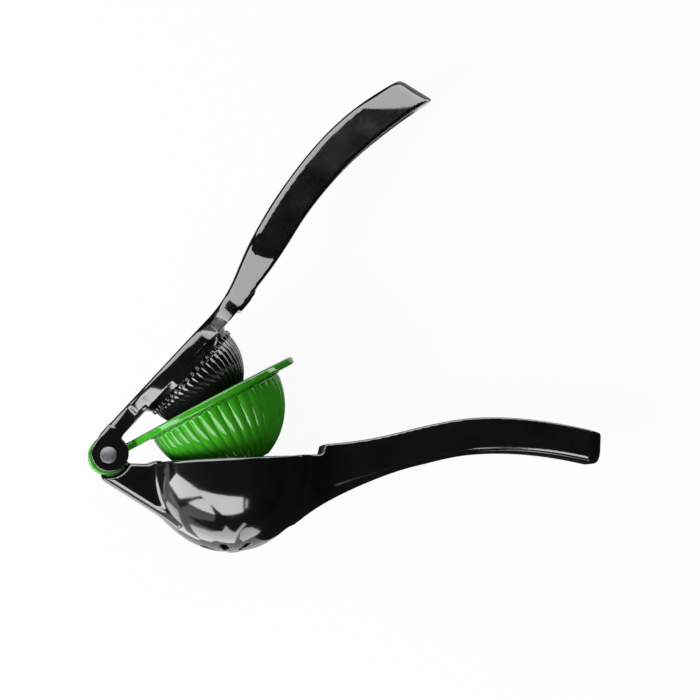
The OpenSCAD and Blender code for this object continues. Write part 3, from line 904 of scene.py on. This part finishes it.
@dataclass
class UpperLever(Piece):
    """Ears, press plate with its fluted dome, neck and upper handle, one casting."""

    dome_x: float = 51.7
    dome_r: float = 23.5
    dome_depth: float = 25.3
    dome_wall: float = 2.6
    floor: float = 0.3
    straight: float = 4.7
    ribs: int = 45
    rib_h: float = 0.7
    relief: float = 0.45
    plate_low: float = 1.3
    plate_t: float = 7.6
    neck_half: float = 7.5
    arm_half: float = 13.5
    plate_x: float = 50.6
    plate_long: float = 25.6
    plate_half: float = 24.9
    plate_square: float = 2.5
    arm_fillet: float = 13.0
    neck_fillet: float = 12.0
    back_round: float = 2.5
    arm_step_x: float = 21.2
    arm_step_t: float = 1.0
    crown: float = 0.22
    skirt: float = 3.0
    spine_round: float = 2.2
    flare_end: float = 110.0
    end_lean: float = 3.2
    neck_lean: float = 0.26
    flare_lean: float = 0.29
    tail_lean: float = 0.11
    keel_x: float = 86.0
    keel_half: float = 6.5
    recess_x: float = 93.4
    skirt_r: float = 26.2
    skirt_slant: float = 1.9

    @property
    def share(self) -> float:
        """Part of the egg's curve that the dome has above its floor."""
        return math.sqrt(1 - self.floor ** 2)

    @cached_property
    def table(self) -> tuple[Array, Array]:
        """Half width of arm, plate and neck along the lever, as a table."""
        xs = np.arange(-12.0, 130.0, 0.1)
        low, high = np.zeros_like(xs), np.full_like(xs, self.plate_half + 5)

        step = self.arm_step_t * ease(self.arm_step_x - 1.2, self.arm_step_x + 1.2, xs)
        for _ in range(40):
            mid = (low + high) / 2
            arm = np.maximum(mid - self.arm_half + self.arm_step_t - step, xs - self.plate_x)
            neck = np.maximum(mid - self.neck_half, self.plate_x - xs)
            inside = join(join(self.disc(xs, mid), arm, self.arm_fillet), neck, self.neck_fillet) < 0
            low, high = np.where(inside, mid, low), np.where(inside, high, mid)
        return xs, low

    def disc(self, x: Array, y: Array) -> Array:
        """Distance to the plate's rounded square, a little squarer on the neck's side."""
        square = self.plate_square + 0.3 * ease(self.plate_x - 8, self.plate_x + 8, x)
        off = np.abs(x - self.plate_x) / self.plate_long
        return ((off ** square + (np.abs(y) / self.plate_half) ** square) ** (1 / square) - 1) * self.plate_half

    def width_at(self, x: Array) -> Array:
        """Half width from the ears over the plate and neck to the end."""
        hand = self.handles
        bulge = (hand.half_w - self.neck_half) * ease(hand.neck_end, self.flare_end, x)
        return np.interp(x, *self.table) + bulge - self.end_inset(x)

    def end_inset(self, x: Array) -> Array:
        """Inset of the flanks towards the handle's end, long and shallow, then round."""
        end = self.handles.upper_end
        return self.handles.end_inset(x, end, self.handles.end_round) + 0.5 * ease(end - 26, end - 2, x)

    def lean_at(self, x: Array, share: Array) -> Array:
        """How much the flank leans in towards the back, as a slope, at x and at a share of the flank's height."""
        neck = self.neck_lean * ease(64.0, 70.0, x) * (1 - ease(73.0, 78.5, x))
        flare = self.flare_lean * ease(85.0, 91.0, x) * (1 - ease(108.0, 117.0, x))
        return neck + flare + self.tail_lean * ease(193.0, 211.0, x - 16.0 * (0.6 - share))

    def low_at(self, x: Array) -> Array:
        """Lower edge of the plate, neck and handle at x."""
        hand = self.handles
        open_edge = hand.parting(x) + hand.gap + hand.slit_at(x)
        return self.plate_low + (open_edge - self.plate_low) * ease(hand.neck_end - 8, hand.neck_end + 16, x)

    def high_at(self, x: Array) -> Array:
        """Back of the lever at x."""
        hand, top = self.handles, self.plate_low + self.plate_t
        knots = ((72.0, top, 0.0), (96.0, hand.crest + 4.2, 0.37), (118.0, hand.crest + 11.4, 0.235),
                 (hand.crest_x + 4, hand.crest + hand.depth + 1.75, 0.0),
                 (hand.upper_end, hand.depth + 3.88 - hand.drop, -0.32))
        return curve(knots, x, top)

    def channel(self, x: Array, y: Array, z: Array) -> Array:
        """Channel in the open side of the handle."""
        start, stop = 96.0, self.handles.upper_end - 5
        low, high = self.low_at(x), self.high_at(x)
        roof = low + (high - low - self.handles.web) * ease(start - 6, start + 16, x) * ease(stop + 4, stop - 12, x)
        side = np.abs(y) - self.width_at(np.clip(x, 90.0, stop)) + self.handles.wall
        body = meet(side, z - roof, 3.0)
        return meet(meet(body, low - 12 - z, 0.5), np.maximum(start - 4 - x, x - stop), 2.0)

    def solid(self, points: Array) -> Array:
        """Distance to the casting without its ribs, in millimetres from the closed hinge."""
        x, y, z = points.T
        hinge, hand = self.hinge, self.handles
        low, high = self.low_at(x), self.high_at(x)
        tall = high - low
        lean = self.end_lean * ease(hand.upper_end - 30, hand.upper_end, x) * np.clip((high - z) / tall, 0, 1)
        xs = x - lean
        wide = ease(hand.neck_end, self.flare_end, xs)
        xs = xs + 1.33 * np.clip(low + 2.3 - z, 0.0, 2.3) * (1 - ease(24.0, 27.0, xs))
        crown = self.crown * (1 - ease(74.0, 90.0, xs))
        half = self.width_at(xs) - crown * ((z - (low + high) / 2) / tall * 2) ** 2
        half = half - self.lean_at(xs, np.clip((z - low) / tall, 0, 1)) * np.clip(z - low - 0.5, 0.0, tall)
        body = bar(y, z, half,
                   self.low_at(xs) + 0.5 * hand.end_inset(xs, hand.upper_end, 2.0),
                   self.high_at(xs) - hand.end_inset(xs, hand.upper_end, 2.0),
                   hand.edge_round * wide + 0.6, self.spine_round + (self.back_round - self.spine_round) * wide)
        body = meet(meet(body, xs - hand.upper_end, 1.5), 4.1 - x, 0.5)
        keel_low = np.where(x < self.recess_x, 0.2 + 0.05 * (x - self.keel_x), hand.parting(x) + hand.gap)
        keel = meet(np.abs(y) - self.keel_half, np.maximum(keel_low - z, z - low - 3), 0.8)
        keel = meet(keel, np.maximum(self.keel_x - x, x - self.flare_end - 6), 0.6)
        body = join(body, keel, 1.2)
        ear = np.hypot(x - hinge.ear_ahead, z) - hinge.ear_r
        web = outline(x, z, np.array([[0, 0.2], [6.56, 0.2], [10.2, self.plate_low], [10.2, 9.0],
                                      [hinge.ear_ahead, 8.2]]))
        body = join(body, meet(join(ear, web, 0.8), pair(y, hinge.ear_from, hinge.ear_to), 0.9), 0.8)
        rho = np.hypot(x - self.dome_x, y)
        dome = egg(rho, z, self.dome_r - self.rib_h, self.plate_low + 1, self.straight + 1,
                   self.dome_depth + 1, self.share)
        body = join(body, dome, 0.9)
        slant = ease(8.0, 18.0, np.abs(x - self.plate_x)) * np.clip((self.plate_low - z) / self.skirt, 0, 2)
        skirt = meet(np.maximum(self.disc(x, y), rho - self.skirt_r) + 0.15 + self.skirt_slant * slant,
                     np.maximum(z - self.plate_low - 1, self.plate_low - self.skirt - z), 0.6)
        body = join(body, skirt, 0.4)
        top = self.plate_low + self.plate_t + 3
        hollow = egg(rho, z, self.dome_r - self.rib_h - self.dome_wall, top, self.plate_t + 3 + self.straight,
                     self.dome_depth - self.dome_wall + self.plate_t + 3)
        body = cut(body, hollow, 1.3)
        around = np.hypot(x, z)
        body = cut(body, meet(around - hinge.slot_r, np.abs(y) - hinge.ear_from, 0.4), 0.7)
        body = cut(body, self.channel(x, y, z), 1.1)
        return cut(body, around - hinge.pin_r, 0.4)

    def build(self) -> list[Object]:
        """Make the casting and its ribs in place of the CAD node."""
        body = self.cast("upper_casting", self.solid, Swing.UPPER, (-9, -26.5, -25.5), (217.5, 26.5, 28.5))
        start = self.skirt - 1.6
        ribs = Ribs(self.ribs, self.dome_r, self.plate_low - start, self.straight - start,
                    self.dome_depth - start, self.share, self.relief)
        rows = ribs.build("dome_ribs", self.dome_x, Swing.UPPER, self.finish)
        for obj in (body, rows):
            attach(obj, Swing.UPPER.body)
            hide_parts("upper_lever")
        return [body, rows]


@dataclass
class Rivet(Piece):
    """Steel rivet with two low domed heads."""

    head_r: float = 3.7
    head_t: float = 1.3

    def build(self) -> list[Object]:
        """Make the rivet in place of its CAD node."""
        half, r, t = self.hinge.ear_to, self.head_r, self.head_t
        dome = [(r * math.sin(a), half + t * 0.25 + t * 0.73 * math.cos(a))
                for a in np.linspace(0.02, math.pi / 2, 18)]
        side = [(0.0, half + t * 0.98)] + dome + [(r, half + 0.08), (r - 0.08, half), (self.hinge.pin_r, half)]
        profile = side + [(x, -z) for x, z in side[::-1]]
        points, faces = lathe(profile, 72)
        turn = Matrix.Rotation(math.pi / 2, 4, "X")
        obj = mesh_object("rivet", points, [f[::-1] for f in faces], self.finish, Swing.LOWER.matrix() @ turn)
        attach(obj, Swing.UPPER.body)
        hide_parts("hinge_pin")
        return [obj]


# ---------- studio ----------

# Soft boxes: name, corners of two edges as angles right and down of the camera, brightness.
BOXES = (
    ("window_wide", ((-78, 1), (-59, 12), (-42, 23), (-15, 29), (5, 32), (22, 34)),
     ((-92, 17), (-74, 39), (-38, 32), (-8, 61), (6, 61), (22, 57)), 12.0),
    ("window_arch", ((-60, 44), (-45, 37), (-35, 36), (-26, 43)),
     ((-58, 45), (-48, 50), (-37, 55), (-19, 61)), 12.0),
    ("window_slit", ((26, 34), (29, 40)), ((25, 51), (27, 52)), 9.0),
    ("wall_far", ((-97, 29), (-88, 30)), ((-88, 45), (-78, 54)), 1.8),
    ("wall_near", ((-72, 53), (-59, 47), (-47, 54), (-19, 63)),
     ((-72, 65), (-60, 67), (-49, 69), (-22, 72)), 1.3),
    ("floor_low", ((-66, 78), (-53, 84), (-28, 92), (-10, 91), (-5, 79), (0, 88), (8, 95), (22, 76), (25, 78)),
     ((-66, 89), (-62, 105), (-42, 114), (-31, 111), (-18, 116), (-7, 119), (3, 120), (15, 94), (26, 79)), 6.0),
    ("floor_left", ((-102, 37), (-90, 49), (-82, 57), (-84, 72), (-83, 87), (-64, 106)),
     ((-110, 44), (-109, 57), (-102, 72), (-98, 83), (-86, 95), (-70, 107)), 5.0),
    ("floor_right", ((16, 94), (25, 86), (36, 87), (52, 97)), ((14, 108), (20, 118), (32, 111), (44, 105)), 5.0),
    ("ceiling",
     ((-74, -12), (-60, -20), (-40, -22), (-22, -18), (-8, -19), (16, -22), (30, -38), (44, -54), (62, -80)),
     ((-84, -30), (-74, -50), (-60, -72), (-40, -82), (-20, -84), (0, -86), (20, -86), (40, -84), (58, -86)), 9.0),
    ("box_right", ((38, -50), (50, -42), (58, -34)), ((60, -86), (78, -78), (90, -70)), 8.0),
)


# Painted shade: dark sheets just in front of the table, seen only in reflections, that stand in for the table's
# less lit parts: name, corners in metres right of and above the middle of the view.
SHADE_CARDS = (
    ("painted_table_shade", ((-0.015, -0.02), (-0.012, -0.08), (0.02, -0.2), (0.1, -0.45), (0.5, -1.4), (2.5, -2.5),
                    (2.5, 1.6), (0.5, 0.5), (0.09, 0.2), (0.04, 0.06))),
    ("painted_table_shade_left", ((-0.12, -0.02), (0.0, 0.12), (0.05, 0.2), (-0.3, 0.9), (-2.5, 1.5), (-2.5, 0.2))),
)

# Lamps: name, angles right and down of the camera, distance and size in metres, power in watts.
LAMPS = (("key_left", -50, 25, 1.6, 0.8, 22.0), ("key_right", 40, -50, 1.6, 1.0, 4.0))


@dataclass(frozen=True)
class View:
    """Camera over the table that the squeezer lies on, in metres."""

    place: Vector = Vector((-0.08610, -0.98556, 0.01577))
    right: Vector = Vector((0.98890, -0.13914, -0.05220))
    up: Vector = Vector((0.04162, -0.07794, 0.99609))
    ahead: Vector = Vector((0.14267, 0.98720, 0.07128))
    lens: float = 115.303

    def build(self) -> None:
        """Set up the camera."""
        data = bpy.data.cameras.new("camera")
        data.sensor_width, data.lens = 36.0, self.lens
        data.clip_end = 50
        obj = linked("camera", data)
        turn = Matrix((self.right, self.up, -self.ahead)).transposed().to_4x4()
        obj.matrix_world = Matrix.Translation(self.place) @ turn
        bpy.context.scene.camera = obj

    def direction(self, right: float, down: float) -> Vector:
        """Direction from the object, by angles off the camera towards its right and down."""
        angle, turn = math.radians(math.hypot(right, down)), math.atan2(down, right)
        return (-self.ahead * math.cos(angle)
                + (self.right * math.cos(turn) - self.up * math.sin(turn)) * math.sin(angle))


@dataclass
class Studio:
    """White table behind the object, soft boxes, a dark hood round the camera, and fill light."""

    view: View
    middle: Vector = Vector((0.04, 0.0, 0.06))
    far: float = 0.0377
    focus: Vector = Vector((0.0, -0.02, 0.015))
    box_reach: float = 1.5
    box_gap: float = 0.004
    box_parts: int = 6
    shade_card_gap: float = 0.003
    # brightness of the dark sheets of painted shade
    shade_card_glow: float = 0.02
    hood_reach: float = 1.9
    hood_angle: float = 91.0
    table_glow: float = 0.94
    room_glow: float = 1.0
    fill: float = 0.22

    @property
    def table_at(self) -> float:
        """Place of the table along the view."""
        return self.middle.dot(self.view.ahead) + self.far

    def panel(self, name: str, first: Corners, second: Corners, strength: float) -> None:
        """Soft box seen only in reflections, spanned between two of its edges.

        Args:
            name: Its name.
            first: Corners along one edge, as angles right and down of the camera.
            second: As many corners along the other edge.
            strength: Its brightness.
        """
        if len(first) != len(second):
            raise ValueError(name + " needs as many corners along both edges")
        n = self.box_parts
        spots = np.arange(0, len(first) - 1 + 1e-9, 1 / n)
        one, two = (np.array([np.interp(spots, range(len(edge)), column) for column in zip(*edge)]).T
                    for edge in (first, second))
        points, faces = [], []
        for a, b in zip(one, two):
            for t in np.linspace(0, 1, n + 1):
                towards = self.view.direction(*(a * (1 - t) + b * t))
                down = towards.dot(self.view.ahead)
                gap = (self.table_at - self.box_gap - self.focus.dot(self.view.ahead)) / max(down, 1e-6)
                points.append((self.focus + towards * min(self.box_reach, gap))[:])
        for i in range(len(one) - 1):
            for j in range(n):
                k = i * (n + 1) + j
                faces.append([k, k + 1, k + n + 2, k + n + 1])
        self.hidden(name, points, faces, strength)

    def seen(self, tree: Tree, level: float, other: float = 0.0) -> bpy.types.Node:
        """Brightness towards the camera, reflections and glass.

        Args:
            tree: Node tree that gets the nodes.
            level: Brightness for those rays.
            other: Brightness for all other rays.

        Returns:
            The node that gives the brightness.
        """
        path = add(tree, "ShaderNodeLightPath").outputs
        some = path["Is Camera Ray"]
        for kind in ("Is Transmission Ray", "Is Glossy Ray"):
            some = add(tree, "ShaderNodeMath", {0: some, 1: path[kind]}, operation="MAXIMUM")
        return add(tree, "ShaderNodeMapRange", {"Value": some, "To Min": other, "To Max": level})

    def level(self, spots: Corners, ahead: float) -> list[Sequence[float]]:
        """Points in a plane that faces the camera.

        Args:
            spots: Metres right of and above the middle of the view.
            ahead: How far the plane lies beyond the middle.

        Returns:
            The points.
        """
        centre = self.middle + self.view.ahead * ahead
        return [(centre + self.view.right * x + self.view.up * y)[:] for x, y in spots]

    def hidden(self, name: str, points: list[Sequence[float]], faces: list[list[int]], strength: float) -> None:
        """Make a glowing or dark mesh that only reflections see."""
        mat = bpy.data.materials.new(name)
        tree = empty_tree(mat)
        light = add(tree, "ShaderNodeEmission", {"Color": linear("#FFFFFF"), "Strength": strength})
        add(tree, "ShaderNodeOutputMaterial", {"Surface": light})
        mat.cycles.emission_sampling = "NONE"
        obj = self.sheet(name, points, faces, mat)
        obj.visible_camera = obj.visible_diffuse = obj.visible_shadow = obj.visible_transmission = False

    def sheet(self, name: str, points: list[Sequence[float]], faces: list[list[int]],
              finish: Material) -> Object:
        """Make a mesh that belongs to the studio."""
        mesh = bpy.data.meshes.new(name)
        mesh.from_pydata(points, [], faces)
        mesh.materials.append(finish)
        obj = linked(name, mesh)
        return obj

    def table(self) -> None:
        """White table, seen through from behind."""
        mat = bpy.data.materials.new("white_table_laminate")
        tree = empty_tree(mat)
        white = add(tree, "ShaderNodeBsdfDiffuse", {"Color": linear("#4A4A52")})
        shine = add(tree, "ShaderNodeEmission", {
            "Color": linear("#FFFFFF"), "Strength": self.seen(tree, self.table_glow)})
        white = add(tree, "ShaderNodeAddShader", {0: white, 1: shine})
        clear = add(tree, "ShaderNodeBsdfTransparent")
        side = add(tree, "ShaderNodeNewGeometry")
        both = add(tree, "ShaderNodeMixShader", {0: side.outputs["Backfacing"], 1: white, 2: clear})
        add(tree, "ShaderNodeOutputMaterial", {"Surface": both})
        points = self.level(((-4, -4), (4, -4), (4, 4), (-4, 4)), self.far)
        self.sheet("table", points, [[0, 1, 2, 3]], mat)

    def lamp(self, name: str, right: float, down: float, distance: float, size: float, power: float) -> None:
        """Large soft lamp aimed at the object."""
        data = bpy.data.lights.new(name, "AREA")
        data.shape, data.size, data.energy = "DISK", size, power
        obj = linked(name, data)
        towards = self.view.direction(right, down)
        obj.matrix_world = (Matrix.Translation(self.middle + towards * distance)
                            @ towards.to_track_quat("Z", "Y").to_matrix().to_4x4())
        obj.visible_glossy = False

    def world(self) -> None:
        """White surroundings, with a plain fill light."""
        world = bpy.data.worlds.new("white_room")
        tree = empty_tree(world)
        back = add(tree, "ShaderNodeBackground", {
            "Color": linear("#FFFFFF"), "Strength": self.seen(tree, self.room_glow, self.fill)})
        add(tree, "ShaderNodeOutputWorld", {"Surface": back})
        bpy.context.scene.world = world

    def build(self) -> None:
        """Set up table, lights and surroundings."""
        self.table()
        self.world()
        self.hood()
        for box in BOXES:
            self.panel(*box)
        # dark sheets of painted shade on the table, seen only in reflections
        for name, spots in SHADE_CARDS:
            points = self.level(spots, self.far - self.shade_card_gap)
            self.hidden(name, points, [list(range(len(points)))], self.shade_card_glow)
        for lamp in LAMPS:
            self.lamp(*lamp)

    def hood(self) -> None:
        """Dark hood over the table's front side, seen only in reflections."""
        n, m, faces = 48, 16, []    # points round a ring, and rings
        spots = [(a * math.cos(t), a * math.sin(t)) for a in np.linspace(0, self.hood_angle, m + 1)[1:]
                 for t in np.linspace(0, 2 * math.pi, n, endpoint=False)]
        points = [(self.middle + self.view.direction(*spot) * self.hood_reach)[:] for spot in spots + [(0, 0)]]
        for j in range(n):
            k = (j + 1) % n
            faces.append([m * n, j, k])
            faces += [[i * n + j, i * n + k, (i + 1) * n + k, (i + 1) * n + j] for i in range(m - 1)]
        self.hidden("hood", points, faces, 0.0)


def main() -> None:
    """Build the squeezer and its studio, and log each new mesh's face count."""
    logging.basicConfig(level=logging.INFO, format="%(name)s: %(message)s")
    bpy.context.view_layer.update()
    view = View()
    view.build()
    black = BakedEnamel("black_baked_enamel", "#151516", 0.09, "#1A1A1B", "#2A2A2C").build()
    green = BakedEnamel("green_baked_enamel", "#46B428", 0.09, "#3FA722", "#66C845", gloss=0.26).build()
    steel = BrushedSteel("brushed_rivet_steel", "#4C4D50", 0.48, "#3A3B3E").build()
    pieces = [LowerLever(black), MiddleCup(green), UpperLever(black), Rivet(steel)]
    for piece in pieces:
        for obj in piece.build():
            log.info("%s: %d faces", obj.name, len(obj.data.polygons))
    Studio(view).build()
    bpy.context.scene.view_settings.view_transform = "Standard"
    bpy.context.view_layer.update()


if __name__ == "__main__":
    main()
